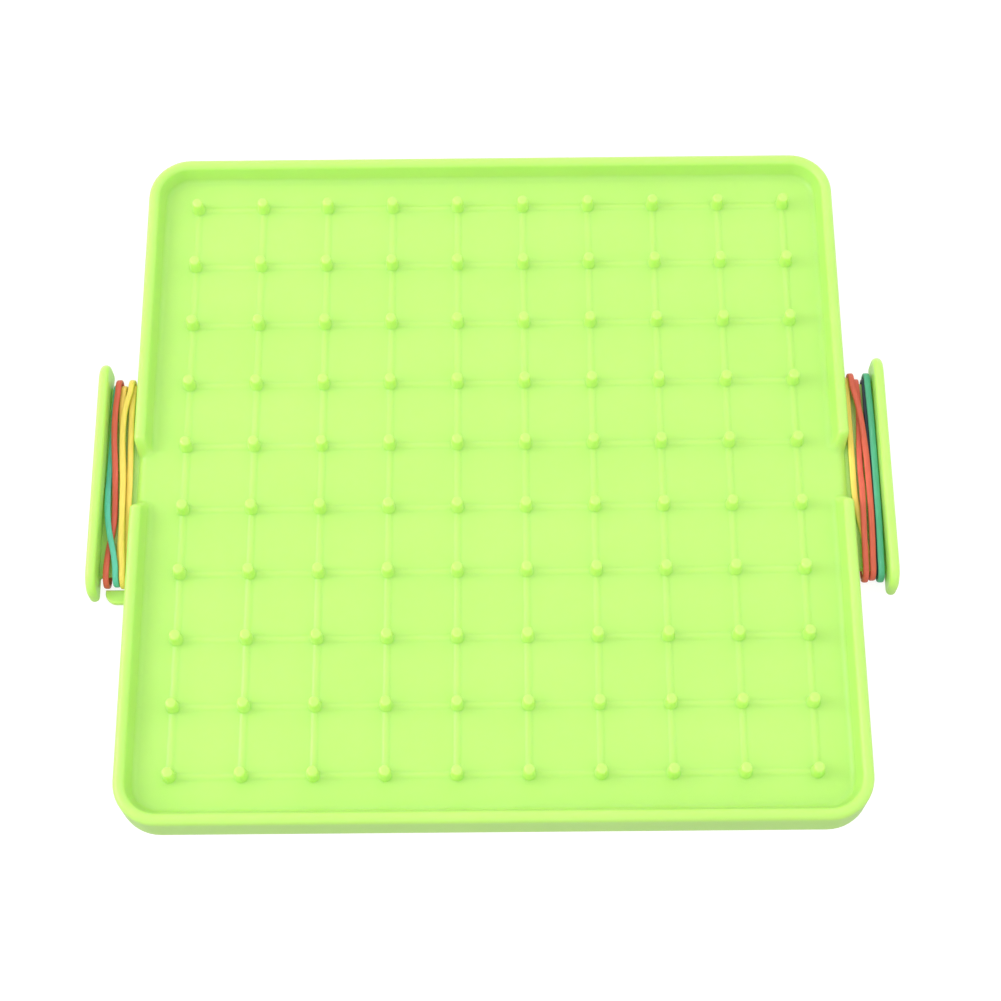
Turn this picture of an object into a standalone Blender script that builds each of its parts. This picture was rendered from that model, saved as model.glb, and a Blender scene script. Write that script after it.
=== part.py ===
"""Geoboard: a square pegged tray with a band cleat on each side and the rubber bands wound on them.

Lengths in this file are in millimetres and are turned into metres when a mesh is made.
Origin: centre of the underside. +X to the right, +Y to the back, +Z up.
"""
import math

import bpy
from mathutils import Vector

MM = 0.001

# Tray
PEGS_PER_SIDE = 10
PEG_PITCH = 19.05
TRAY_HALF = 100.0
TRAY_CORNER_RADIUS = 12.0
TRAY_HEIGHT = 12.0
FLOOR_TOP = 6.3
FLOOR_THICKNESS = 2.0
SKIRT_THICKNESS = 2.2
FOOT_ROUNDING = 0.6
RIM_THICKNESS = 3.3
WALL_DRAFT = 0.9
COVE_RADIUS = 2.2
CORNER_STEPS = 6
RIM_STEPS = 6
COVE_STEPS = 4

# Pegs and the ribs that join them
PEG_BASE_RADIUS = 1.75
PEG_TOP_RADIUS = 1.5
PEG_HEIGHT = 5.0
PEG_SIDES = 8
RIB_WIDTH = 1.2
RIB_HEIGHT = 0.35
SINK = 0.8

# Notch in the left and right rims, in front of each cleat
NOTCH_FLAT_HALF = 6.4
NOTCH_SHOULDER_HALF = 10.4
NOTCH_BOTTOM = 2.8
NOTCH_STEPS = 6
NOTCH_LIP_RADIUS = 3.0
NOTCH_FLOOR_STEP = 0.05
NOTCH_INNER_X = 90.0

# Cleat: a web that carries the bands and a flange that keeps them on
WEB_TOP = 4.6
WEB_THICKNESS = 1.9
WEB_HALF_LENGTH = 28.4
WEB_FILLET = 1.4
WEB_ROOT_X = 98.6
WEB_TIP_X = 109.6
FLANGE_OUTER_X = 111.0
FLANGE_THICKNESS = 2.7
FLANGE_HALF_LENGTH = 34.9
FLANGE_BOTTOM = 0.6
FLANGE_TOP = 12.0
FLANGE_TOP_CORNER = 6.0
FLANGE_BOTTOM_CORNER = 1.8
FLANGE_EDGE = 1.2
ARC_STEPS = 4
FLANGE_CORNER_STEPS = 6

# Tab beside the front end of the left cleat
TAB_TOP = 3.2
TAB_THICKNESS = 1.9
TAB_OUTER_X = 106.6
TAB_BACK_Y = -31.8
TAB_FRONT_Y = -35.8
TAB_CORNER = 3.2

# Rubber bands
BAND_WIDTH = 1.5
WIDE_BAND_WIDTH = 1.7
BAND_THICKNESS = 0.9
GAP = 0.3
END_SLACK = 0.2
RUN_HALF = 27.0
RUN_STEPS = 12
END_STEPS = 5

LIME = (0.604, 0.991, 0.223)
TEAL = (0.12, 0.63, 0.45)
GREEN = (0.045, 0.42, 0.22)
RED = (0.68, 0.09, 0.055)
YELLOW = (0.86, 0.52, 0.07)
NAVY = (0.012, 0.03, 0.05)

# Each run lists (y, distance from the centre line, layer), from the back of the cleat to its front.
# Layer 0 lies on the web and layer 1 lies over a band of layer 0.
BANDS = {
    "left_band_teal": {
        "side": -1, "colour": TEAL, "width": BAND_WIDTH,
        "top": [(27, 106.8, 0), (22, 107, 0), (12, 107, 0), (6, 107.1, 0), (0, 107.2, 0),
                (-4, 107.25, 0.3), (-10, 106.85, 1), (-16, 106, 1), (-22, 104.5, 1), (-27, 103.55, 1)],
        "bottom": [(27, 106.8, 0), (16, 106.8, 0), (8, 107, 0), (0, 107.2, 0), (-8, 107, 1),
                   (-18, 105.4, 1), (-27, 103.55, 1)],
    },
    "left_band_red": {
        "side": -1, "colour": RED, "width": BAND_WIDTH,
        "top": [(27, 106.1, 1), (22, 106.5, 1), (16, 106.5, 1), (10, 106.15, 1), (6, 105.75, 1),
                (0, 105.3, 1), (-6, 105.15, 0.1), (-12, 105, 0), (-17, 105.45, 0), (-21, 106.1, 0),
                (-27, 106.2, 0.9)],
        "bottom": [(27, 106.1, 1), (16, 105.9, 1), (8, 105.4, 1), (0, 105.2, 0.2), (-6, 105.1, 0),
                   (-14, 105.3, 0), (-21, 106.1, 0), (-27, 106.2, 0.9)],
    },
    "left_band_yellow_1": {
        "side": -1, "colour": YELLOW, "width": BAND_WIDTH,
        "top": [(27, 102.4, 1), (24, 103.3, 1), (20, 103.95, 1), (14, 104.05, 1), (8, 103.8, 1),
                (0, 103.2, 1), (-12, 102.7, 1), (-20, 102.3, 1), (-27, 101.65, 1)],
        "bottom": [(27, 102.4, 1), (0, 102.6, 1), (-27, 101.65, 1)],
    },
    "left_band_yellow_2": {
        "side": -1, "colour": YELLOW, "width": BAND_WIDTH,
        "top": [(27, 101.85, 0), (22, 102.05, 0), (14, 101.85, 0), (0, 101.4, 0), (-12, 101.25, 0),
                (-27, 101.1, 0)],
        "bottom": [(27, 101.85, 0), (0, 101.2, 0), (-27, 101.1, 0)],
    },
    "left_band_yellow_3": {
        "side": -1, "colour": YELLOW, "width": BAND_WIDTH,
        "top": [(27, 104.7, 0), (23, 104.9, 0), (16, 104.5, 0), (8, 103.8, 0), (0, 103.15, 0),
                (-12, 102.95, 0), (-27, 102.9, 0)],
        "bottom": [(27, 104.7, 0), (16, 103.9, 0), (8, 103.3, 0), (0, 103.05, 0), (-27, 102.9, 0)],
    },
    "right_band_yellow": {
        "side": 1, "colour": YELLOW, "width": BAND_WIDTH,
        "top": [(27, 101.1, 0), (0, 101.1, 0), (-7, 101.2, 0), (-15, 102.2, 0), (-22, 103.2, 0),
                (-27, 103, 0)],
        "bottom": [(27, 101.1, 0), (0, 101.1, 0), (-8, 101.3, 0), (-27, 103, 0)],
    },
    "right_band_red_1": {
        "side": 1, "colour": RED, "width": BAND_WIDTH,
        "top": [(27, 102.35, 1), (23, 103.3, 1), (18, 104.15, 1), (12, 104.65, 1), (4, 105.05, 1),
                (-4, 105.15, 1), (-12, 105.15, 1), (-20, 104.95, 1), (-27, 104.6, 1)],
        "bottom": [(27, 102.35, 1), (16, 103.2, 1), (4, 104.9, 1), (-10, 105, 1), (-27, 104.6, 1)],
    },
    "right_band_red_2": {
        "side": 1, "colour": RED, "width": BAND_WIDTH,
        "top": [(27, 103.85, 0), (22, 104.1, 0), (15, 103.85, 0), (8, 103.4, 0), (2, 103.25, 0),
                (-6, 103.15, 1), (-14, 102.9, 1), (-27, 102.55, 1)],
        "bottom": [(27, 103.85, 0), (12, 103.5, 0), (2, 103.25, 0), (-6, 103.15, 1), (-14, 102.9, 1),
                   (-27, 102.55, 1)],
    },
    "right_band_navy": {
        "side": 1, "colour": NAVY, "width": BAND_WIDTH,
        "top": [(27, 106.25, 0), (14, 106.2, 0), (0, 106.25, 0), (-12, 106.15, 0), (-27, 105.8, 0)],
        "bottom": [(27, 106.25, 0), (0, 106.1, 0), (-27, 105.8, 0)],
    },
    "right_band_green": {
        "side": 1, "colour": GREEN, "width": WIDE_BAND_WIDTH,
        "top": [(27, 106.9, 1), (20, 107.1, 1), (10, 107.2, 1), (0, 107.2, 1), (-15, 107.1, 1),
                (-27, 106.8, 1)],
        "bottom": [(27, 106.9, 1), (0, 107.2, 1), (-27, 106.8, 1)],
    },
}


def clear_scene():
    for item in list(bpy.data.objects):
        bpy.data.objects.remove(item, do_unlink=True)


def make_material(name, colour, roughness):
    material = bpy.data.materials.new(name)
    material.use_nodes = True
    shader = material.node_tree.nodes["Principled BSDF"]
    shader.inputs["Base Color"].default_value = (*colour, 1.0)
    shader.inputs["Roughness"].default_value = roughness
    shader.inputs["Metallic"].default_value = 0.0
    return material


def make_object(name, points, faces):
    """Makes an object from points in millimetres."""
    mesh = bpy.data.meshes.new(name)
    mesh.from_pydata([Vector(point) * MM for point in points], [], faces)
    mesh.validate()
    item = bpy.data.objects.new(name, mesh)
    bpy.context.scene.collection.objects.link(item)
    return item


def combine(target, tool, operation):
    """Joins tool to target, or cuts it away, and removes tool."""
    modifier = target.modifiers.new(operation, "BOOLEAN")
    modifier.operation = operation
    modifier.solver = "EXACT"
    modifier.object = tool
    evaluated = target.evaluated_get(bpy.context.evaluated_depsgraph_get())
    result = bpy.data.meshes.new_from_object(evaluated)
    target.modifiers.clear()
    target.data = result
    bpy.data.objects.remove(tool, do_unlink=True)


def arc(centre, radius, start, end, steps):
    """Points on an arc, angles in degrees, both ends included."""
    angles = [math.radians(start + (end - start) * i / steps) for i in range(steps + 1)]
    return [(centre[0] + radius * math.cos(a), centre[1] + radius * math.sin(a)) for a in angles]


def ring_solid(name, rings):
    """Closed solid from rings of equal length, each running anticlockwise seen from above; its first and last
    rings are capped. The rings run along the surface from the underside, round the outside, to the top."""
    count = len(rings[0])
    points = [point for ring in rings for point in ring]
    faces = [tuple(reversed(range(count)))]
    for row in range(len(rings) - 1):
        for i in range(count):
            j = (i + 1) % count
            faces.append((row * count + i, row * count + j, (row + 1) * count + j, (row + 1) * count + i))
    faces.append(tuple((len(rings) - 1) * count + i for i in range(count)))
    return make_object(name, points, faces)


def prism(name, outline, axis, low, high):
    """Extrudes an outline along an axis. The outline runs anticlockwise seen from the axis's far end."""
    def place(point, depth):
        placed = {0: (depth, *point), 1: (point[1], depth, point[0]), 2: (*point, depth)}
        return placed[axis]

    return ring_solid(name, [[place(p, low) for p in outline], [place(p, high) for p in outline]])


def tray_ring(inset, height):
    half = TRAY_HALF - inset
    radius = TRAY_CORNER_RADIUS - inset
    ring = []
    for quarter, (sx, sy) in enumerate([(1, 1), (-1, 1), (-1, -1), (1, -1)]):
        centre = (sx * (half - radius), sy * (half - radius))
        ring += arc(centre, radius, 90 * quarter, 90 * quarter + 90, CORNER_STEPS)
    return [(x, y, height) for x, y in ring]


def tray_profile():
    """(inset, height) pairs from the underside, out over the foot and the rim, and in to the floor."""
    profile = [(SKIRT_THICKNESS, FLOOR_TOP - FLOOR_THICKNESS), (SKIRT_THICKNESS, 0.0)]
    profile += [(FOOT_ROUNDING, 0.0), (0.0, FOOT_ROUNDING)]
    rim_radius = RIM_THICKNESS / 2
    profile += arc((rim_radius, TRAY_HEIGHT - rim_radius), rim_radius, 180, 0, RIM_STEPS)
    cove_centre = (RIM_THICKNESS + WALL_DRAFT + COVE_RADIUS, FLOOR_TOP + COVE_RADIUS)
    profile += arc(cove_centre, COVE_RADIUS, 180, 270, COVE_STEPS)
    return profile


def build_tray():
    return ring_solid("board", [tray_ring(inset, height) for inset, height in tray_profile()])


def smooth_step(t):
    t = min(max(t, 0.0), 1.0)
    return t * t * (3.0 - 2.0 * t)


def notch_outline():
    """(y, z) outline of the scoop: flat at the bottom, rising to above the rim at its shoulders."""
    low = NOTCH_BOTTOM
    high = TRAY_HEIGHT + 1.0
    span = NOTCH_SHOULDER_HALF - NOTCH_FLAT_HALF
    side = []
    for i in range(NOTCH_STEPS + 1):
        t = i / NOTCH_STEPS
        side.append((NOTCH_FLAT_HALF + span * t, low + (TRAY_HEIGHT + 0.2 - low) * smooth_step(t)))
    right = side + [(NOTCH_SHOULDER_HALF, high)]
    left = [(-y, z) for y, z in reversed(right)]
    return right + left


def notch_sheet(side):
    """(z, x) outline of all that lies above the floor and above its rolled outer lip."""
    floor = FLOOR_TOP + NOTCH_FLOOR_STEP
    lip_centre = (floor - NOTCH_LIP_RADIUS, TRAY_HALF - 0.4 - NOTCH_LIP_RADIUS)
    lip = [(z, x) for z, x in arc(lip_centre, NOTCH_LIP_RADIUS, 0, 90, ARC_STEPS)]
    outline = [(TRAY_HEIGHT + 3.0, NOTCH_INNER_X), (floor, NOTCH_INNER_X)] + lip
    outline += [(lip[-1][0], TRAY_HALF + 3.0), (TRAY_HEIGHT + 3.0, TRAY_HALF + 3.0)]
    if side < 0:
        return [(z, -x) for z, x in reversed(outline)]
    return outline


def cut_notch(board, side):
    low, high = sorted((side * NOTCH_INNER_X, side * (TRAY_HALF + 2.0)))
    cutter = prism("notch", notch_outline(), 0, low, high)
    sheet = prism("notch_sheet", notch_sheet(side), 1, -2 * NOTCH_SHOULDER_HALF, 2 * NOTCH_SHOULDER_HALF)
    combine(cutter, sheet, "INTERSECT")
    combine(board, cutter, "DIFFERENCE")


def box_parts(boxes):
    """Points and faces of separate boxes, each given by its lowest and highest corners."""
    points = []
    faces = []
    for low, high in boxes:
        first = len(points)
        points += [(x, y, z) for z in (low[2], high[2]) for x, y in
                   ((low[0], low[1]), (high[0], low[1]), (high[0], high[1]), (low[0], high[1]))]
        faces += [tuple(first + i for i in face) for face in
                  ((3, 2, 1, 0), (4, 5, 6, 7), (0, 1, 5, 4), (1, 2, 6, 5), (2, 3, 7, 6), (3, 0, 4, 7))]
    return points, faces


def peg_lines():
    first = -(PEGS_PER_SIDE - 1) * PEG_PITCH / 2
    return [first + i * PEG_PITCH for i in range(PEGS_PER_SIDE)]


def add_ribs(board):
    lines = peg_lines()
    low = FLOOR_TOP - SINK
    high = FLOOR_TOP + RIB_HEIGHT
    half = RIB_WIDTH / 2
    along_x = [((lines[0], y - half, low), (lines[-1], y + half, high)) for y in lines]
    along_y = [((x - half, lines[0], low), (x + half, lines[-1], high)) for x in lines]
    for boxes in (along_x, along_y):
        combine(board, make_object("ribs", *box_parts(boxes)), "UNION")


def add_pegs(board):
    points = []
    faces = []
    levels = ((FLOOR_TOP - SINK, PEG_BASE_RADIUS), (FLOOR_TOP + PEG_HEIGHT, PEG_TOP_RADIUS))
    for x in peg_lines():
        for y in peg_lines():
            first = len(points)
            for height, radius in levels:
                turn = 180 / PEG_SIDES
                circle = arc((x, y), radius, turn, turn + 360, PEG_SIDES)[:-1]
                points += [(px, py, height) for px, py in circle]
            faces.append(tuple(first + i for i in reversed(range(PEG_SIDES))))
            faces.append(tuple(first + PEG_SIDES + i for i in range(PEG_SIDES)))
            for i in range(PEG_SIDES):
                j = (i + 1) % PEG_SIDES
                faces.append((first + i, first + j, first + PEG_SIDES + j, first + PEG_SIDES + i))
    combine(board, make_object("pegs", points, faces), "UNION")


def web_ring(side, inset, height):
    """Web outline, with a concave fillet where each end meets the tray and the flange."""
    radius = WEB_FILLET + inset
    end = WEB_HALF_LENGTH - inset + radius
    inner_x = TRAY_HALF + WEB_FILLET
    outer_x = FLANGE_OUTER_X - FLANGE_THICKNESS - WEB_FILLET
    back = [(WEB_TIP_X, end)] + arc((outer_x, end), radius, 0, -90, ARC_STEPS)
    back += arc((inner_x, end), radius, -90, -180, ARC_STEPS) + [(WEB_ROOT_X, end)]
    front = [(x, -y) for x, y in reversed(back)]
    outline = back + front
    if side < 0:
        outline = [(-x, y) for x, y in reversed(outline)]
    return [(x, y, height) for x, y in outline]


def rounded_levels(low, high, rounding, steps):
    """(inset, height) pairs up a side whose lower and upper edges are rounded."""
    lower = arc((rounding, low + rounding), rounding, 270, 180, steps)
    upper = arc((rounding, high - rounding), rounding, 180, 90, steps)
    levels = lower + upper
    return [pair for i, pair in enumerate(levels) if i == 0 or pair[1] - levels[i - 1][1] > 1e-6]


def add_web(board, side):
    low = WEB_TOP - WEB_THICKNESS
    levels = rounded_levels(low, WEB_TOP, WEB_THICKNESS / 2, 2)
    combine(board, ring_solid("web", [web_ring(side, inset, height) for inset, height in levels]), "UNION")


def flange_ring(inset, x):
    """Side outline of the flange, whose upper corners are rounder than its lower ones."""
    low_y, low_z = FLANGE_HALF_LENGTH - FLANGE_BOTTOM_CORNER, FLANGE_BOTTOM + FLANGE_BOTTOM_CORNER
    high_y, high_z = FLANGE_HALF_LENGTH - FLANGE_TOP_CORNER, FLANGE_TOP - FLANGE_TOP_CORNER
    small, large = FLANGE_BOTTOM_CORNER - inset, FLANGE_TOP_CORNER - inset
    outline = arc((low_y, low_z), small, 270, 360, 2)
    outline += arc((high_y, high_z), large, 0, 90, FLANGE_CORNER_STEPS)
    outline += arc((-high_y, high_z), large, 90, 180, FLANGE_CORNER_STEPS)
    outline += arc((-low_y, low_z), small, 180, 270, 2)
    return [(x, y, z) for y, z in outline]


def add_flange(board, side):
    low, high = sorted((side * FLANGE_OUTER_X, side * (FLANGE_OUTER_X - FLANGE_THICKNESS)))
    levels = rounded_levels(low, high, FLANGE_EDGE, 3)
    combine(board, ring_solid("flange", [flange_ring(inset, x) for inset, x in levels]), "UNION")


def add_tab(board):
    centre = (-TAB_OUTER_X + TAB_CORNER, TAB_FRONT_Y + TAB_CORNER)
    outline = [(-WEB_ROOT_X, TAB_BACK_Y), (-TAB_OUTER_X, TAB_BACK_Y)]
    outline += arc(centre, TAB_CORNER, 180, 270, ARC_STEPS) + [(-WEB_ROOT_X, TAB_FRONT_Y)]
    combine(board, prism("tab", outline, 2, TAB_TOP - TAB_THICKNESS, TAB_TOP), "UNION")


def build_board():
    board = build_tray()
    for side in (-1, 1):
        cut_notch(board, side)
    add_ribs(board)
    add_pegs(board)
    for side in (-1, 1):
        add_web(board, side)
        add_flange(board, side)
    add_tab(board)
    board.data.materials.clear()
    board.data.materials.append(make_material("lime_plastic", LIME, 0.35))
    return board


def curve_value(knots, y, column):
    """Smooth curve through the knots, which run from high y to low y."""
    last = len(knots) - 1
    k = 0
    while k < last - 1 and y < knots[k + 1][0]:
        k += 1

    def slope(i):
        before, after = max(i - 1, 0), min(i + 1, last)
        return (knots[after][column] - knots[before][column]) / (knots[after][0] - knots[before][0])

    span = knots[k + 1][0] - knots[k][0]
    t = (y - knots[k][0]) / span
    start, end = knots[k][column], knots[k + 1][column]
    blend = 2 * t ** 3 - 3 * t ** 2 + 1
    value = start * blend + end * (1 - blend)
    return value + span * (slope(k) * (t ** 3 - 2 * t ** 2 + t) + slope(k + 1) * (t ** 3 - t ** 2))


def layer_value(knots, y):
    """Layer at y, eased from one knot to the next."""
    last = len(knots) - 1
    k = 0
    while k < last - 1 and y < knots[k + 1][0]:
        k += 1
    t = (y - knots[k][0]) / (knots[k + 1][0] - knots[k][0])
    return knots[k][2] + (knots[k + 1][2] - knots[k][2]) * smooth_step(t)


def loop_radius(layer):
    return WEB_THICKNESS / 2 + GAP + BAND_THICKNESS / 2 + layer * (BAND_THICKNESS + GAP)


def web_end(x, width):
    """How much further than at its middle the web reaches, on its fillets, within width of x."""
    inner_x = TRAY_HALF + WEB_FILLET
    outer_x = FLANGE_OUTER_X - FLANGE_THICKNESS - WEB_FILLET
    depth = min(max(inner_x - (x - width / 2), (x + width / 2) - outer_x, 0.0), WEB_FILLET - GAP)
    return WEB_FILLET - math.sqrt(max(WEB_FILLET ** 2 - depth ** 2, 0.0))


def band_path(band):
    """Centre line of a band as (x, y, z, turn), where turn is the angle of its outer face about X."""
    middle = WEB_TOP - WEB_THICKNESS / 2
    base = WEB_HALF_LENGTH - WEB_THICKNESS / 2 + END_SLACK
    path = []
    for run, sign in (("top", 1), ("bottom", -1)):
        knots = band[run]
        ys = [RUN_HALF * (1 - 2 * i / RUN_STEPS) * sign for i in range(RUN_STEPS + 1)]
        for y in ys:
            z = middle + sign * loop_radius(layer_value(knots, y))
            path.append((curve_value(knots, y, 1), y, z, 0.0 if sign > 0 else math.pi))
        end = knots[-1] if sign > 0 else knots[0]
        shadow = band["width"] + end[2] * 2 * BAND_WIDTH
        centre_y = sign * -(base + web_end(end[1], shadow))
        for i in range(END_STEPS + 1):
            angle = math.pi * i / END_STEPS
            radius = loop_radius(end[2])
            turn = angle if sign > 0 else math.pi + angle
            path.append((end[1], centre_y - sign * radius * math.sin(angle),
                         middle + sign * radius * math.cos(angle), turn))
    return path


def build_band(name, band):
    """Sweeps a rectangle round the band's centre line. The origin is at the middle of the cleat."""
    side = band["side"]
    middle_x = side * (TRAY_HALF + FLANGE_OUTER_X - FLANGE_THICKNESS) / 2
    origin = Vector((middle_x, 0.0, WEB_TOP - WEB_THICKNESS / 2))
    half = BAND_THICKNESS / 2
    points = []
    path = band_path(band)
    for x, y, z, turn in path:
        out = Vector((0.0, -math.sin(turn), math.cos(turn)))
        across = Vector((band["width"] / 2, 0.0, 0.0))
        for a, o in ((-1, -1), (1, -1), (1, 1), (-1, 1)):
            points.append(Vector((side * x, y, z)) + across * a + out * half * o - origin)
    faces = []
    for i in range(len(path)):
        j = (i + 1) % len(path)
        for k in range(4):
            m = (k + 1) % 4
            faces.append((i * 4 + k, i * 4 + m, j * 4 + m, j * 4 + k))
    item = make_object(name, points, faces)
    item.location = origin * MM
    item.data.materials.append(make_material(name, band["colour"], 0.5))
    return item


def main():
    clear_scene()
    root = bpy.data.objects.new("geoboard", None)
    bpy.context.scene.collection.objects.link(root)
    parts = [build_board()]
    parts += [build_band(name, band) for name, band in BANDS.items()]
    for item in parts:
        item.parent = root


main()
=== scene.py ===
"""Looks of the geoboard: a lime plastic pegged tray with rubber bands wound on its two cleats.

Shape dimensions are in millimetres, in the frame's axes: +X right, +Y back, +Z up from the underside.
"""
import math

import bpy
import numpy as np
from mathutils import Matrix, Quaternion, Vector, noise


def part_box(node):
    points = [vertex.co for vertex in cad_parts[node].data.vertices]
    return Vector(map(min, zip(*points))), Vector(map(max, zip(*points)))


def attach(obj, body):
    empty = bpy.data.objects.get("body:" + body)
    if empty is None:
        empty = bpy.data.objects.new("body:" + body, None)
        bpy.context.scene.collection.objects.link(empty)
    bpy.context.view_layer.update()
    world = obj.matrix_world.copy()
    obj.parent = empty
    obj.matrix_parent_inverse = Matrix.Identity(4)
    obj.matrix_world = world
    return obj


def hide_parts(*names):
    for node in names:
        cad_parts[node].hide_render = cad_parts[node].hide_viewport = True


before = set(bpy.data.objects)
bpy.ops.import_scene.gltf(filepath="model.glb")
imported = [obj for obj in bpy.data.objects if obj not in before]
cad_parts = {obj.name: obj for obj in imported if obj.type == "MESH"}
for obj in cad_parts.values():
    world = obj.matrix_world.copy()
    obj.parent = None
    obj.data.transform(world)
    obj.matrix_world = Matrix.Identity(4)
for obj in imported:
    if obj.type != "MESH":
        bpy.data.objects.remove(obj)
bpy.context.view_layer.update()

MM = 0.001
BOARD_LOW, BOARD_HIGH = (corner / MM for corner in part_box("board"))

# Tray, from the frame where the frame has it
TRAY_HALF = BOARD_HIGH.y
TRAY_HEIGHT = BOARD_HIGH.z
FLANGE_OUTER_X = BOARD_HIGH.x
PEGS_PER_SIDE = 10
PEG_PITCH = 19.05
LAST_PEG = (PEGS_PER_SIDE - 1) * PEG_PITCH / 2
CORNER_RADIUS = 12.0
STRAIGHT_HALF = TRAY_HALF - CORNER_RADIUS
FLOOR_TOP = 6.3
FLOOR_THICKNESS = 2.0
SKIRT_THICKNESS = 2.2
FOOT_ROUNDING = 0.6
RIM_THICKNESS = 3.3
WALL_DRAFT = 0.9
COVE_RADIUS = 2.2
COVE_CENTRE = (RIM_THICKNESS + WALL_DRAFT + COVE_RADIUS, FLOOR_TOP + COVE_RADIUS)
COVE_STEPS = 7
RIM_STEPS = 14
OUTER_WALL_HEIGHTS = (9.0, 7.4, 5.8, 4.3, 2.8, 1.6)
FOOT_INNER_CHAMFER = 0.3
CEILING_FILLET = 1.2
SMALL_ARC_STEPS = 4
SHARP_EDGE_ANGLE = math.radians(50)

# Half cross-section of a rib: (distance from its middle line, height above the floor)
RIB_PROFILE = ((0.0, 0.32), (0.3, 0.30), (0.55, 0.22), (0.8, 0.10), (1.05, 0.0))
# Half section of a peg, from its foot on the floor to the middle of its top: (radius, height)
PEG_PROFILE = ((2.05, 0.02), (1.96, 0.08), (1.86, 0.22), (1.78, 0.5), (1.72, 1.2), (1.66, 2.2),
               (1.60, 3.2), (1.54, 4.0), (1.48, 4.4), (1.36, 4.7), (1.12, 4.88), (0.7, 4.97),
               (0.25, 5.0))
PEG_CELL_HALF = 2.1
PEG_CELL_LINES = (0.0, 0.3, 0.55, 0.8, 1.05, 1.5, PEG_CELL_HALF)
FIELD_LINES = (4.4, 7.0)
CORNER_LINES = 6
GRID_HALF = 90.2

# Notch in the left and right rims
NOTCH_FLAT_HALF = 6.4
NOTCH_SHOULDER_HALF = 10.6
NOTCH_LIP_RADIUS = 3.0
NOTCH_LIP_INSET = 0.4
NOTCH_LINES = 9
NOTCH_LINE_GAP = 0.12
NOTCH_LIP_STEPS = 12
NOTCH_LOW_END = 2.8  # height on the outer wall below which the notch changes nothing

# Cleats
WEB_TOP = 4.6
WEB_THICKNESS = 1.9
WEB_HALF_LENGTH = 28.4
WEB_FILLET = 1.4
WEB_ROOT_X = 98.6
WEB_EDGE_STEPS = 6
FILLET_STEPS = 10
FLANGE_THICKNESS = 2.7
FLANGE_INNER_X = FLANGE_OUTER_X - FLANGE_THICKNESS
FLANGE_HALF_LENGTH = 34.9
FLANGE_BOTTOM = 0.6
FLANGE_TOP_CORNER = 6.0
FLANGE_BOTTOM_CORNER = 1.8
FLANGE_EDGE = 1.25
FLANGE_EDGE_STEPS = 10
FLANGE_TOP_STEPS = 14
FLANGE_BOTTOM_STEPS = 6
WEB_TIP_X = FLANGE_INNER_X + FLANGE_THICKNESS / 2
TAB_TOP = 3.2
TAB_THICKNESS = 1.9
TAB_OUTER_X = 106.6
TAB_BACK_Y = -31.8
TAB_FRONT_Y = -35.8
TAB_CORNER = 3.2
TAB_EDGE = 0.5


def make_object(name, points, faces, smooth=True):
    """Makes an object from points in millimetres."""
    mesh = bpy.data.meshes.new(name)
    mesh.from_pydata((np.asarray(points, float) * MM).tolist(), [], faces)
    mesh.validate()
    if smooth:
        mesh.shade_smooth()
    item = bpy.data.objects.new(name, mesh)
    bpy.context.scene.collection.objects.link(item)
    return item


def arc(centre, radius, start, end, steps):
    """Points on an arc, angles in degrees, both ends included."""
    angles = [math.radians(start + (end - start) * i / steps) for i in range(steps + 1)]
    return [(centre[0] + radius * math.cos(a), centre[1] + radius * math.sin(a)) for a in angles]


def smooth_step(t):
    t = min(max(t, 0.0), 1.0)
    return t * t * (3.0 - 2.0 * t)


# ---------------------------------------------------------------- board

def grid_lines(along_notch):
    """Sorted positions of the mesh lines across the tray floor."""
    lines = {0.0}
    for i in range(PEGS_PER_SIDE):
        peg = -LAST_PEG + i * PEG_PITCH
        for offset in PEG_CELL_LINES + FIELD_LINES:
            if offset <= PEG_CELL_HALF or abs(peg) < LAST_PEG - 1:
                lines.update((peg - offset, peg + offset))
    for offset in FIELD_LINES:
        lines.update((-LAST_PEG + offset, LAST_PEG - offset))
    for i in range(CORNER_LINES + 1):
        line = STRAIGHT_HALF + (GRID_HALF - STRAIGHT_HALF) * i / CORNER_LINES
        lines.update((-line, line))
    if along_notch:
        for i in range(NOTCH_LINES + 1):
            line = NOTCH_FLAT_HALF + (NOTCH_SHOULDER_HALF - NOTCH_FLAT_HALF) * i / NOTCH_LINES
            if all(abs(line - other) > NOTCH_LINE_GAP for other in lines):
                lines.update((-line, line))
    return sorted(round(line, 4) for line in lines)


def rib_height(offset):
    """Height of a rib above the floor at a distance from its middle line."""
    distances, heights = zip(*RIB_PROFILE)
    return np.interp(abs(offset), distances, heights)


def nearest_peg(value):
    index = min(max(round((value + LAST_PEG) / PEG_PITCH), 0), PEGS_PER_SIDE - 1)
    return -LAST_PEG + index * PEG_PITCH


def in_peg_cells(lines):
    """For each gap between two mesh lines, whether it lies in the cells round a row of pegs."""
    middles = [(a + b) / 2 for a, b in zip(lines, lines[1:])]
    return [abs(middle - nearest_peg(middle)) < PEG_CELL_HALF for middle in middles]


def floor_height(x, y):
    """Top surface of the floor and its ribs, which end at the outer pegs."""
    along_x = rib_height(y - nearest_peg(y)) if abs(x) <= LAST_PEG + 0.01 else 0.0
    along_y = rib_height(x - nearest_peg(x)) if abs(y) <= LAST_PEG + 0.01 else 0.0
    return FLOOR_TOP + max(along_x, along_y)


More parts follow.
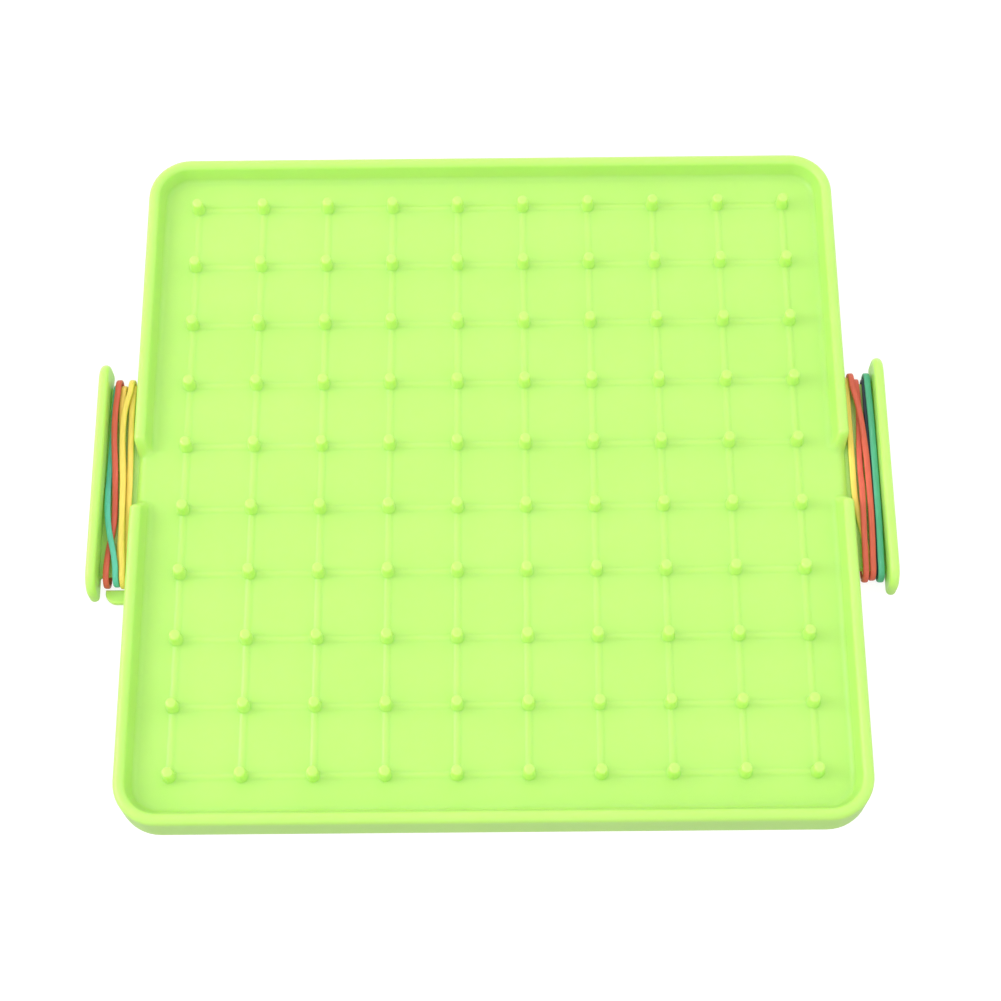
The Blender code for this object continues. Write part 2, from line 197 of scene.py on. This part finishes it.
def profile_steps():
    """(inset, height) pairs from the floor, over the rim, and under the foot to the ceiling."""
    steps = arc(COVE_CENTRE, COVE_RADIUS, 270, 180, COVE_STEPS)
    radius = RIM_THICKNESS / 2
    steps += arc((radius, TRAY_HEIGHT - radius), radius, 0, 180, RIM_STEPS)
    steps += [(0.0, z) for z in OUTER_WALL_HEIGHTS]
    steps += arc((FOOT_ROUNDING, FOOT_ROUNDING), FOOT_ROUNDING, 180, 270, SMALL_ARC_STEPS)
    steps += [(SKIRT_THICKNESS - FOOT_INNER_CHAMFER, 0.0), (SKIRT_THICKNESS, FOOT_INNER_CHAMFER)]
    ceiling = FLOOR_TOP - FLOOR_THICKNESS
    corner = (SKIRT_THICKNESS + CEILING_FILLET, ceiling - CEILING_FILLET)
    steps += arc(corner, CEILING_FILLET, 180, 90, SMALL_ARC_STEPS)
    return steps


def notch_steps(profile):
    """The profile's points moved to the low lip of the notch, at the same share of its length."""
    last = next(i for i, (inset, z) in enumerate(profile) if inset == 0.0 and z <= NOTCH_LOW_END)
    lip_centre = (NOTCH_LIP_INSET + NOTCH_LIP_RADIUS, FLOOR_TOP - NOTCH_LIP_RADIUS)
    lip = [profile[0]] + arc(lip_centre, NOTCH_LIP_RADIUS, 90, 180, NOTCH_LIP_STEPS) + [profile[last]]

    def shares(points):
        lengths = np.r_[0.0, np.cumsum([math.dist(a, b) for a, b in zip(points, points[1:])])]
        return lengths / lengths[-1]

    lip_shares = shares(lip)
    insets, heights = zip(*lip)
    at = shares(profile[:last + 1])
    moved = [(np.interp(s, lip_shares, insets), np.interp(s, lip_shares, heights)) for s in at]
    return moved + profile[last + 1:]


def wall_point(side_x, t, inset):
    """Point on the rounded-square outline at an inset, where t runs along a side in grid units."""
    half = TRAY_HALF - inset
    radius = CORNER_RADIUS - inset
    straight = min(abs(t), STRAIGHT_HALF)
    turn = math.radians(45) * max(abs(t) - STRAIGHT_HALF, 0.0) / (GRID_HALF - STRAIGHT_HALF)
    out = half - radius + radius * math.cos(turn)
    along = math.copysign(straight + radius * math.sin(turn), t)
    return (side_x[0] * out - side_x[1] * along, side_x[1] * out + side_x[0] * along)


def add_floor(points, faces, xs, ys):
    """Grid of the floor with a square hole round each peg. Returns the grid's point numbers."""
    first = len(points)
    points += [(x, y, floor_height(x, y)) for x in xs for y in ys]
    number = {(i, j): first + i * len(ys) + j for i in range(len(xs)) for j in range(len(ys))}
    near_x = in_peg_cells(xs)
    near_y = in_peg_cells(ys)
    for i in range(len(xs) - 1):
        for j in range(len(ys) - 1):
            if not (near_x[i] and near_y[j]):
                faces.append((number[i, j], number[i + 1, j], number[i + 1, j + 1], number[i, j + 1]))
    return number


def add_peg(points, faces, xs, ys, number, peg_x, peg_y):
    """Peg that grows out of the square hole left for it in the floor grid."""
    columns = [i for i, x in enumerate(xs) if abs(x - peg_x) < PEG_CELL_HALF + 0.01]
    rows = [j for j, y in enumerate(ys) if abs(y - peg_y) < PEG_CELL_HALF + 0.01]
    border = [(i, rows[0]) for i in columns[:-1]] + [(columns[-1], j) for j in rows[:-1]]
    border += [(i, rows[-1]) for i in columns[:0:-1]] + [(columns[0], j) for j in rows[:0:-1]]
    ring = [number[key] for key in border]
    turns = [math.atan2(ys[j] - peg_y, xs[i] - peg_x) for i, j in border]
    for radius, height in PEG_PROFILE:
        start = len(points)
        for turn in turns:
            x = peg_x + radius * math.cos(turn)
            y = peg_y + radius * math.sin(turn)
            points.append((x, y, max(FLOOR_TOP + height, floor_height(x, y) + height / 4)))
        upper = list(range(start, start + len(turns)))
        faces.extend((ring[k - 1], ring[k], upper[k], upper[k - 1]) for k in range(len(ring)))
        ring = upper
    points.append((peg_x, peg_y, FLOOR_TOP + PEG_PROFILE[-1][1]))
    faces.extend((ring[k - 1], ring[k], len(points) - 1) for k in range(len(ring)))


def add_walls(points, faces, xs, ys, number):
    """Rim, outer wall, foot and underside, swept round the edge of the floor grid."""
    last_x, last_y = len(xs) - 1, len(ys) - 1
    border = [((1, 0), ys[j], (last_x, j)) for j in range(last_y)]
    border += [((0, 1), -xs[i], (i, last_y)) for i in range(last_x, 0, -1)]
    border += [((-1, 0), -ys[j], (0, j)) for j in range(last_y, 0, -1)]
    border += [((0, -1), xs[i], (i, 0)) for i in range(last_x)]
    profile = profile_steps()
    low_profile = notch_steps(profile)
    notch_ramp = NOTCH_SHOULDER_HALF - NOTCH_FLAT_HALF
    ring = [number[key] for _, _, key in border]
    for (inset, z), (low_inset, low_z) in zip(profile, low_profile):
        start = len(points)
        for side, t, _ in border:
            share = 0.0
            if side[0]:
                share = smooth_step((NOTCH_SHOULDER_HALF - abs(t)) / notch_ramp)
            x, y = wall_point(side, t, inset + (low_inset - inset) * share)
            points.append((x, y, z + (low_z - z) * share))
        outer = list(range(start, start + len(border)))
        faces.extend((ring[k - 1], outer[k - 1], outer[k], ring[k]) for k in range(len(ring)))
        ring = outer
    faces.append(tuple(reversed(ring)))


def ring_solid(name, rings):
    """Closed solid from equal rings in order, each anticlockwise seen from the last ring's side."""
    count = len(rings[0])
    points = [point for ring in rings for point in ring]
    faces = [tuple(reversed(range(count)))]
    for row in range(len(rings) - 1):
        for i in range(count):
            j = (i + 1) % count
            low, high = row * count, (row + 1) * count
            faces.append((low + i, low + j, high + j, high + i))
    faces.append(tuple((len(rings) - 1) * count + i for i in range(count)))
    return make_object(name, points, faces)


def rounded_levels(low, high, rounding, steps):
    """(inset, height) pairs up a side whose lower and upper edges are rounded."""
    lower = arc((rounding, low + rounding), rounding, 270, 180, steps)
    upper = arc((rounding, high - rounding), rounding, 180, 90, steps)
    if high - low - 2 * rounding < 0.01:
        upper = upper[1:]
    return lower + upper


def web_ring(side, inset, height):
    """Web outline, with a concave fillet where each end meets the tray and the flange."""
    radius = WEB_FILLET + inset
    end = WEB_HALF_LENGTH - inset + radius
    back = [(WEB_TIP_X, end)]
    back += arc((FLANGE_INNER_X - WEB_FILLET, end), radius, 0, -90, FILLET_STEPS)
    back += arc((TRAY_HALF + WEB_FILLET, end), radius, -90, -180, FILLET_STEPS)
    back.append((WEB_ROOT_X, end))
    outline = back + [(x, -y) for x, y in reversed(back)]
    if side < 0:
        outline = [(-x, y) for x, y in reversed(outline)]
    return [(x, y, height) for x, y in outline]


def flange_ring(inset, x):
    """Side outline of the flange, whose upper corners are rounder than its lower ones."""
    low_y, low_z = FLANGE_HALF_LENGTH - FLANGE_BOTTOM_CORNER, FLANGE_BOTTOM + FLANGE_BOTTOM_CORNER
    high_y, high_z = FLANGE_HALF_LENGTH - FLANGE_TOP_CORNER, TRAY_HEIGHT - FLANGE_TOP_CORNER
    small, large = FLANGE_BOTTOM_CORNER - inset, FLANGE_TOP_CORNER - inset
    outline = arc((low_y, low_z), small, 270, 360, FLANGE_BOTTOM_STEPS)
    outline += arc((high_y, high_z), large, 0, 90, FLANGE_TOP_STEPS)
    outline += arc((-high_y, high_z), large, 90, 180, FLANGE_TOP_STEPS)
    outline += arc((-low_y, low_z), small, 180, 270, FLANGE_BOTTOM_STEPS)
    return [(x, y, z) for y, z in outline]


def tab_ring(inset, height):
    radius = TAB_CORNER - inset
    centre = (-TAB_OUTER_X + TAB_CORNER, TAB_FRONT_Y + TAB_CORNER)
    outline = [(-WEB_ROOT_X, TAB_BACK_Y - inset), (-TAB_OUTER_X + inset, TAB_BACK_Y - inset)]
    outline += arc(centre, radius, 180, 270, FILLET_STEPS) + [(-WEB_ROOT_X, TAB_FRONT_Y + inset)]
    return [(x, y, height) for x, y in outline]


def union(target, tool):
    """Joins tool to target and removes tool."""
    modifier = target.modifiers.new("union", "BOOLEAN")
    modifier.operation = "UNION"
    modifier.solver = "EXACT"
    modifier.object = tool
    evaluated = target.evaluated_get(bpy.context.evaluated_depsgraph_get())
    result = bpy.data.meshes.new_from_object(evaluated)
    target.modifiers.clear()
    target.data = result
    bpy.data.objects.remove(tool, do_unlink=True)


def build_board():
    xs = grid_lines(False)
    ys = grid_lines(True)
    points = []
    faces = []
    number = add_floor(points, faces, xs, ys)
    peg_lines = [-LAST_PEG + i * PEG_PITCH for i in range(PEGS_PER_SIDE)]
    for peg_x in peg_lines:
        for peg_y in peg_lines:
            add_peg(points, faces, xs, ys, number, peg_x, peg_y)
    add_walls(points, faces, xs, ys, number)
    board = make_object("board_moulding", points, faces)
    web_levels = rounded_levels(WEB_TOP - WEB_THICKNESS, WEB_TOP, WEB_THICKNESS / 2, WEB_EDGE_STEPS)
    for side in (-1, 1):
        union(board, ring_solid("web", [web_ring(side, inset, z) for inset, z in web_levels]))
        flange_low, flange_high = sorted((side * FLANGE_INNER_X, side * FLANGE_OUTER_X))
        flange_levels = rounded_levels(flange_low, flange_high, FLANGE_EDGE, FLANGE_EDGE_STEPS)
        union(board, ring_solid("flange", [flange_ring(inset, x) for inset, x in flange_levels]))
    tab_levels = rounded_levels(TAB_TOP - TAB_THICKNESS, TAB_TOP, TAB_EDGE, SMALL_ARC_STEPS)
    union(board, ring_solid("tab", [tab_ring(inset, z) for inset, z in tab_levels]))
    board.data.set_sharp_from_angle(angle=SHARP_EDGE_ANGLE)
    return board


# ---------------------------------------------------------------- rubber bands

BAND_WIDTH = 1.66
GREEN_BAND_WIDTH = 1.8
BAND_THICKNESS = 1.02
LAYER_PITCH = 1.2
CAD_BAND_THICKNESS = 0.9
GAP = 0.3
END_SLACK = 0.2
RUN_HALF = 27.0
RUN_STEPS = 90
END_STEPS = 18
SECTION_STEPS = 20
SECTION_SQUARENESS = 0.62
SMOOTHING_ROUNDS = 12
ROLL_DEGREES = 7.0
ROLL_PER_MM = 0.07
WIDTH_VARIATION = 0.03
WIDTH_PER_ROLL = 3.1
SEED_SPACING = 7.3

# Each run lists (y, distance from the centre line, layer), from the back of the cleat to its front.
# Layer 0 lies on the web and layer 1 lies over a band of layer 0.
BANDS = {
    "left_band_teal": {
        "slot": "rubber_teal",
        "top": [(27, 106.8, 0), (22, 107, 0), (12, 107, 0), (6, 107.1, 0), (0, 107.2, 0),
                (-4, 107.25, 0.3), (-10, 106.85, 1), (-16, 106, 1), (-22, 104.5, 1), (-27, 103.55, 1)],
        "bottom": [(27, 106.8, 0), (16, 106.8, 0), (8, 107, 0), (0, 107.2, 0), (-8, 107, 1),
                   (-18, 105.4, 1), (-27, 103.55, 1)],
    },
    "left_band_red": {
        "slot": "rubber_red",
        "top": [(27, 106.1, 1), (22, 106.5, 1), (16, 106.5, 1), (10, 106.15, 1), (6, 105.75, 1),
                (0, 105.3, 1), (-6, 105.15, 0.1), (-12, 105, 0), (-17, 105.45, 0), (-21, 106.1, 0),
                (-27, 106.2, 0.9)],
        "bottom": [(27, 106.1, 1), (16, 105.9, 1), (8, 105.4, 1), (0, 105.2, 0.2), (-6, 105.1, 0),
                   (-14, 105.3, 0), (-21, 106.1, 0), (-27, 106.2, 0.9)],
    },
    "left_band_yellow_1": {
        "slot": "rubber_yellow",
        "top": [(27, 102.4, 1), (24, 103.3, 1), (20, 103.95, 1), (14, 104.05, 1), (8, 103.8, 1),
                (0, 103.2, 1), (-12, 102.7, 1), (-20, 102.3, 1), (-27, 101.65, 1)],
        "bottom": [(27, 102.4, 1), (0, 102.6, 1), (-27, 101.65, 1)],
    },
    "left_band_yellow_2": {
        "slot": "rubber_yellow",
        "top": [(27, 101.85, 0), (22, 102.05, 0), (14, 101.85, 0), (0, 101.4, 0), (-12, 101.25, 0),
                (-27, 101.1, 0)],
        "bottom": [(27, 101.85, 0), (0, 101.2, 0), (-27, 101.1, 0)],
    },
    "left_band_yellow_3": {
        "slot": "rubber_yellow",
        "top": [(27, 104.7, 0), (23, 104.9, 0), (16, 104.5, 0), (8, 103.8, 0), (0, 103.15, 0),
                (-12, 102.95, 0), (-27, 102.9, 0)],
        "bottom": [(27, 104.7, 0), (16, 103.9, 0), (8, 103.3, 0), (0, 103.05, 0), (-27, 102.9, 0)],
    },
    "right_band_yellow": {
        "slot": "rubber_yellow",
        "top": [(27, 101.1, 0), (0, 101.1, 0), (-7, 101.2, 0), (-15, 102.2, 0), (-22, 103.2, 0),
                (-27, 103, 0)],
        "bottom": [(27, 101.1, 0), (0, 101.1, 0), (-8, 101.3, 0), (-27, 103, 0)],
    },
    "right_band_red_1": {
        "slot": "rubber_red",
        "top": [(27, 102.35, 1), (23, 103.3, 1), (18, 104.15, 1), (12, 104.65, 1), (4, 105.05, 1),
                (-4, 105.15, 1), (-12, 105.15, 1), (-20, 104.95, 1), (-27, 104.6, 1)],
        "bottom": [(27, 102.35, 1), (16, 103.2, 1), (4, 104.9, 1), (-10, 105, 1), (-27, 104.6, 1)],
    },
    "right_band_red_2": {
        "slot": "rubber_red",
        "top": [(27, 103.85, 0), (22, 104.1, 0), (15, 103.85, 0), (8, 103.4, 0), (2, 103.25, 0),
                (-6, 103.15, 1), (-14, 102.9, 1), (-27, 102.55, 1)],
        "bottom": [(27, 103.85, 0), (12, 103.5, 0), (2, 103.25, 0), (-6, 103.15, 1), (-14, 102.9, 1),
                   (-27, 102.55, 1)],
    },
    "right_band_navy": {
        "slot": "rubber_navy",
        "top": [(27, 106.25, 0), (14, 106.2, 0), (0, 106.25, 0), (-12, 106.15, 0), (-27, 105.8, 0)],
        "bottom": [(27, 106.25, 0), (0, 106.1, 0), (-27, 105.8, 0)],
    },
    "right_band_green": {
        "slot": "rubber_green",
        "top": [(27, 106.9, 1), (20, 107.1, 1), (10, 107.2, 1), (0, 107.2, 1), (-15, 107.1, 1),
                (-27, 106.8, 1)],
        "bottom": [(27, 106.9, 1), (0, 107.2, 1), (-27, 106.8, 1)],
    },
}


def knot_span(knots, y):
    """Index of the knot before y and the share of the way to the next, from high y to low y."""
    k = 0
    while k < len(knots) - 2 and y < knots[k + 1][0]:
        k += 1
    return k, (y - knots[k][0]) / (knots[k + 1][0] - knots[k][0])


def curve_value(knots, y):
    """Distance from the centre line at y, on a smooth curve through the knots."""
    last = len(knots) - 1
    k, t = knot_span(knots, y)

    def slope(i):
        before, after = knots[max(i - 1, 0)], knots[min(i + 1, last)]
        return (after[1] - before[1]) / (after[0] - before[0])

    span = knots[k + 1][0] - knots[k][0]
    blend = 2 * t ** 3 - 3 * t ** 2 + 1
    value = knots[k][1] * blend + knots[k + 1][1] * (1 - blend)
    return value + span * (slope(k) * (t ** 3 - 2 * t ** 2 + t) + slope(k + 1) * (t ** 3 - t ** 2))


def layer_value(knots, y):
    k, t = knot_span(knots, y)
    return knots[k][2] + (knots[k + 1][2] - knots[k][2]) * smooth_step(t)


def loop_radius(layer):
    return WEB_THICKNESS / 2 + GAP + CAD_BAND_THICKNESS / 2 + layer * LAYER_PITCH


def end_reach(x, layer):
    """How much further than at its middle the web reaches under a band at x, on its fillets."""
    half = BAND_WIDTH / 2 + layer * BAND_WIDTH
    near_tray = TRAY_HALF + WEB_FILLET - (x - half)
    near_flange = (x + half) - (FLANGE_INNER_X - WEB_FILLET)
    depth = min(max(near_tray, near_flange, 0.0), WEB_FILLET - GAP)
    return WEB_FILLET - math.sqrt(WEB_FILLET ** 2 - depth ** 2)


def band_path(band):
    """Centre line of a band as rows of (x, y, z, turn), the turn of its outer face about X."""
    middle = WEB_TOP - WEB_THICKNESS / 2
    base = WEB_HALF_LENGTH - WEB_THICKNESS / 2 + END_SLACK
    path = []
    for run, sign in (("top", 1), ("bottom", -1)):
        knots = band[run]
        for i in range(RUN_STEPS + 1):
            y = sign * RUN_HALF * (1 - 2 * i / RUN_STEPS)
            z = middle + sign * loop_radius(layer_value(knots, y))
            path.append((curve_value(knots, y), y, z, 0.0 if sign > 0 else math.pi))
        end = knots[-1] if sign > 0 else knots[0]
        centre_y = -sign * (base + end_reach(end[1], end[2]))
        for i in range(END_STEPS + 1):
            angle = math.pi * i / END_STEPS
            y = centre_y - sign * loop_radius(end[2]) * math.sin(angle)
            z = middle + sign * loop_radius(end[2]) * math.cos(angle)
            path.append((end[1], y, z, angle if sign > 0 else math.pi + angle))
    path = np.array(path)
    for _ in range(SMOOTHING_ROUNDS):
        path[:, 0] = (np.roll(path[:, 0], 1) + 2 * path[:, 0] + np.roll(path[:, 0], -1)) / 4
    return path


def section_point(k, width):
    """Point of the band's section, a rectangle with well-rounded edges, as (across, outward)."""
    angle = 2 * math.pi * k / SECTION_STEPS
    c, s = math.cos(angle), math.sin(angle)
    across = math.copysign(abs(c) ** SECTION_SQUARENESS, c) * width / 2
    outward = math.copysign(abs(s) ** SECTION_SQUARENESS, s) * BAND_THICKNESS / 2
    return across, outward


def build_band(name, band, seed):
    """Sweeps the section round the band's centre line, with a little roll and uneven width."""
    side = -1 if name.startswith("left") else 1
    width = GREEN_BAND_WIDTH if band["slot"] == "rubber_green" else BAND_WIDTH
    points = []
    path = band_path(band)
    for x, y, z, turn in path:
        sample = Vector((seed * SEED_SPACING, y * ROLL_PER_MM, math.cos(turn)))
        roll = math.radians(ROLL_DEGREES) * noise.noise(sample)
        local = width * (1 + WIDTH_VARIATION * noise.noise(sample * WIDTH_PER_ROLL))
        out = np.array((0.0, -math.sin(turn), math.cos(turn)))
        across = np.array((1.0, 0.0, 0.0))
        for k in range(SECTION_STEPS):
            a, o = section_point(k, local)
            rolled_across = a * math.cos(roll) - o * math.sin(roll)
            rolled_out = a * math.sin(roll) + o * math.cos(roll)
            tilted = across * rolled_across + out * rolled_out
            points.append(np.array((side * x, y, z)) + tilted)
    faces = []
    for i in range(len(path)):
        this = i * SECTION_STEPS
        following = (i + 1) % len(path) * SECTION_STEPS
        for k in range(SECTION_STEPS):
            m = (k + 1) % SECTION_STEPS
            face = (this + k, this + m, following + m, following + k)
            faces.append(face if side > 0 else face[::-1])
    return make_object(name + "_rubber", points, faces)


# ---------------------------------------------------------------- materials

class Nodes:
    """Builds a material's node tree round its Principled shader."""

    def __init__(self, name):
        self.material = bpy.data.materials.new(name)
        self.material.use_nodes = True
        self.tree = self.material.node_tree
        self.shader = self.tree.nodes["Principled BSDF"]

    def add(self, kind, **inputs):
        node = self.tree.nodes.new("ShaderNode" + kind)
        for key, value in inputs.items():
            node.inputs[key.replace("_", " ")].default_value = value
        return node

    def link(self, source, target):
        self.tree.links.new(source, target)

    def set(self, **inputs):
        for key, value in inputs.items():
            self.shader.inputs[key.replace("_", " ")].default_value = value

    def noise(self, scale, detail, roughness=0.5, stretch=(1.0, 1.0, 1.0)):
        """Noise over object space, in features per metre, stretched along each axis."""
        place = self.add("TexCoord")
        mapping = self.add("Mapping", Scale=stretch)
        texture = self.add("TexNoise", Scale=scale, Detail=detail, Roughness=roughness)
        self.link(place.outputs["Object"], mapping.inputs["Vector"])
        self.link(mapping.outputs["Vector"], texture.inputs["Vector"])
        return texture.outputs["Fac"]

    def ramp(self, source, stops):
        ramp = self.add("ValToRGB")
        elements = ramp.color_ramp.elements
        while len(elements) < len(stops):
            elements.new(0.5)
        for element, (position, colour) in zip(elements, stops):
            element.position = position
            element.color = (*colour, 1.0)
        self.link(source, ramp.inputs["Fac"])
        return ramp.outputs["Color"]

    def remap(self, source, low, high):
        node = self.add("MapRange", To_Min=low, To_Max=high)
        self.link(source, node.inputs["Value"])
        return node.outputs["Result"]

    def bump(self, source, strength, distance, under=None):
        node = self.add("Bump", Strength=strength, Distance=distance)
        self.link(source, node.inputs["Height"])
        if under:
            self.link(under, node.inputs["Normal"])
        return node.outputs["Normal"]


def lime_plastic():
    """Glossy, slightly translucent moulded plastic with faint flow marks and a fine mould texture."""
    nodes = Nodes("lime_plastic_moulded")
    flow = nodes.noise(16.0, 4.0, 0.55, (1.0, 2.2, 1.0))
    colour = nodes.ramp(flow, [(0.3, (0.448, 0.735, 0.156)), (0.7, (0.473, 0.760, 0.170))])
    nodes.link(colour, nodes.shader.inputs["Base Color"])
    mottle = nodes.noise(420.0, 3.0, 0.6)
    nodes.link(nodes.remap(mottle, 0.27, 0.37), nodes.shader.inputs["Roughness"])
    grain = nodes.bump(nodes.noise(5200.0, 2.0), 0.10, 0.00003)
    ripple = nodes.bump(nodes.noise(55.0, 2.0), 0.12, 0.0004, grain)
    nodes.link(ripple, nodes.shader.inputs["Normal"])
    nodes.set(IOR=1.49, Subsurface_Weight=0.8, Subsurface_Radius=(1.0, 1.0, 0.5),
              Subsurface_Scale=0.004)
    return nodes.material


def rubber(name, colour, bloom_and_highlight):
    """Stretched rubber: fine lines along the band, small pits, and pale streaks that are partly dusty
    bloom and partly a painted highlight.
    """
    nodes = Nodes(name + "_stretched")
    lines = nodes.noise(900.0, 3.0, 0.6, (3.0, 0.22, 3.0))
    deep = tuple(c * DEEP_SHARE for c in colour)
    # The palest streaks are partly dusty bloom and partly painted highlight
    streaks = nodes.ramp(lines, [(0.30, deep), (0.62, colour), (0.88, bloom_and_highlight)])
    nodes.link(streaks, nodes.shader.inputs["Base Color"])
    pits = nodes.noise(2600.0, 2.0, 0.5)
    nodes.link(nodes.remap(pits, 0.38, 0.6), nodes.shader.inputs["Roughness"])
    normal = nodes.bump(lines, 0.25, 0.00006, nodes.bump(pits, 0.15, 0.00003))
    nodes.link(normal, nodes.shader.inputs["Normal"])
    nodes.set(IOR=1.52, Sheen_Weight=0.08, Sheen_Roughness=0.4, Subsurface_Weight=0.08,
              Subsurface_Radius=(1.0, 0.6, 0.4), Subsurface_Scale=0.0006)
    return nodes.material


# How dark a band is between its streaks, and its (colour, pale streak colour) for each slot; the pale
# streak colour is partly dusty bloom and partly painted highlight
DEEP_SHARE = 0.82
RUBBER_COLOURS = {
    "rubber_teal": ((0.115, 0.600, 0.450), (0.26, 0.72, 0.58)),
    "rubber_green": ((0.085, 0.470, 0.275), (0.30, 0.68, 0.52)),
    "rubber_red": ((0.770, 0.120, 0.068), (0.88, 0.26, 0.17)),
    "rubber_yellow": ((0.960, 0.730, 0.120), (0.98, 0.84, 0.24)),
    "rubber_navy": ((0.014, 0.035, 0.060), (0.05, 0.09, 0.13)),
}


def dress():
    """Makes each piece, gives it its material and hands it to its body."""
    board = build_board()
    board.data.materials.clear()
    board.data.materials.append(lime_plastic())
    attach(board, "board")
    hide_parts("board")
    materials = {slot: rubber(slot, *colours) for slot, colours in RUBBER_COLOURS.items()}
    for seed, (name, band) in enumerate(BANDS.items()):
        piece = build_band(name, band, seed)
        piece.data.materials.append(materials[band["slot"]])
        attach(piece, name)
        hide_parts(name)


# ---------------------------------------------------------------- studio

CAMERA_POSITION = (0.00528, -0.23597, 0.56251)
CAMERA_AIM = (0.00243, -0.00750, 0.00630)
CAMERA_ROLL = math.radians(-1.18)
CAMERA_LENS = 77.7
SENSOR_WIDTH = 36.0
NEAREST_SEEN = 0.01
KEY_DIRECTION = (-0.84, 0.02, 0.54)
KEY_DISTANCE = 1.0
KEY_SIZE = 0.6
KEY_POWER = 3.6
SKY_AXIS = (-0.04, 0.45, 0.89)
SKY_SPREAD = (-0.85, 0.0)
SKY_DARK = 0.60
SKY_BRIGHT = 1.22
FLOOR_GLOW = 0.85
FLOOR_GREY = 0.26
FLOOR_HALF = 2500


def area_light(name, position, size, power):
    """Square area light that faces the middle of the board."""
    light = bpy.data.lights.new(name, "AREA")
    light.size = size
    light.energy = power
    item = bpy.data.objects.new(name, light)
    item.location = position
    item.rotation_euler = (-Vector(position)).to_track_quat("-Z", "Y").to_euler()
    bpy.context.scene.collection.objects.link(item)
    return item


def build_sky():
    """White surroundings, bright overhead and behind, dimmer low in front and dimmest from below."""
    world = bpy.data.worlds.new("studio")
    world.use_nodes = True
    tree = world.node_tree
    place = tree.nodes.new("ShaderNodeTexCoord")
    dot = tree.nodes.new("ShaderNodeVectorMath")
    dot.operation = "DOT_PRODUCT"
    dot.inputs[1].default_value = Vector(SKY_AXIS).normalized()
    spread = tree.nodes.new("ShaderNodeMapRange")
    spread.interpolation_type = "SMOOTHSTEP"
    spread.inputs["From Min"].default_value = SKY_SPREAD[0]
    spread.inputs["From Max"].default_value = SKY_SPREAD[1]
    spread.inputs["To Min"].default_value = SKY_DARK
    spread.inputs["To Max"].default_value = SKY_BRIGHT
    tree.links.new(place.outputs["Generated"], dot.inputs[0])
    tree.links.new(dot.outputs["Value"], spread.inputs["Value"])
    tree.links.new(spread.outputs["Result"], tree.nodes["Background"].inputs["Strength"])
    tree.nodes["Background"].inputs["Color"].default_value = (1.0, 1.0, 1.0, 1.0)
    bpy.context.scene.world = world


def build_studio():
    """White floor that glows evenly, and neither tints the board's sides nor shows in its gloss."""
    signs = ((-1, -1), (1, -1), (1, 1), (-1, 1))
    corners = [(sx * FLOOR_HALF, sy * FLOOR_HALF, 0) for sx, sy in signs]
    floor = make_object("studio_floor", corners, [(0, 1, 2, 3)], smooth=False)
    nodes = Nodes("studio_floor")
    nodes.set(Base_Color=(FLOOR_GREY, FLOOR_GREY, FLOOR_GREY, 1.0), Roughness=0.9)
    nodes.set(Specular_IOR_Level=0.0)
    nodes.set(Emission_Color=(1.0, 1.0, 1.0, 1.0), Emission_Strength=FLOOR_GLOW)
    floor.data.materials.append(nodes.material)
    floor.visible_diffuse = False
    floor.visible_glossy = False
    area_light("key", Vector(KEY_DIRECTION).normalized() * KEY_DISTANCE, KEY_SIZE, KEY_POWER)
    build_sky()


def build_camera():
    camera = bpy.data.cameras.new("camera")
    camera.lens = CAMERA_LENS
    camera.sensor_width = SENSOR_WIDTH
    camera.clip_start = NEAREST_SEEN
    item = bpy.data.objects.new("camera", camera)
    item.location = CAMERA_POSITION
    look = (Vector(CAMERA_AIM) - Vector(CAMERA_POSITION)).to_track_quat("-Z", "Y")
    item.rotation_euler = (look @ Quaternion((0.0, 0.0, 1.0), CAMERA_ROLL)).to_euler()
    bpy.context.scene.collection.objects.link(item)
    bpy.context.scene.camera = item


build_camera()
dress()
build_studio()
bpy.context.scene.view_settings.view_transform = "Standard"
bpy.context.scene.view_settings.look = "None"
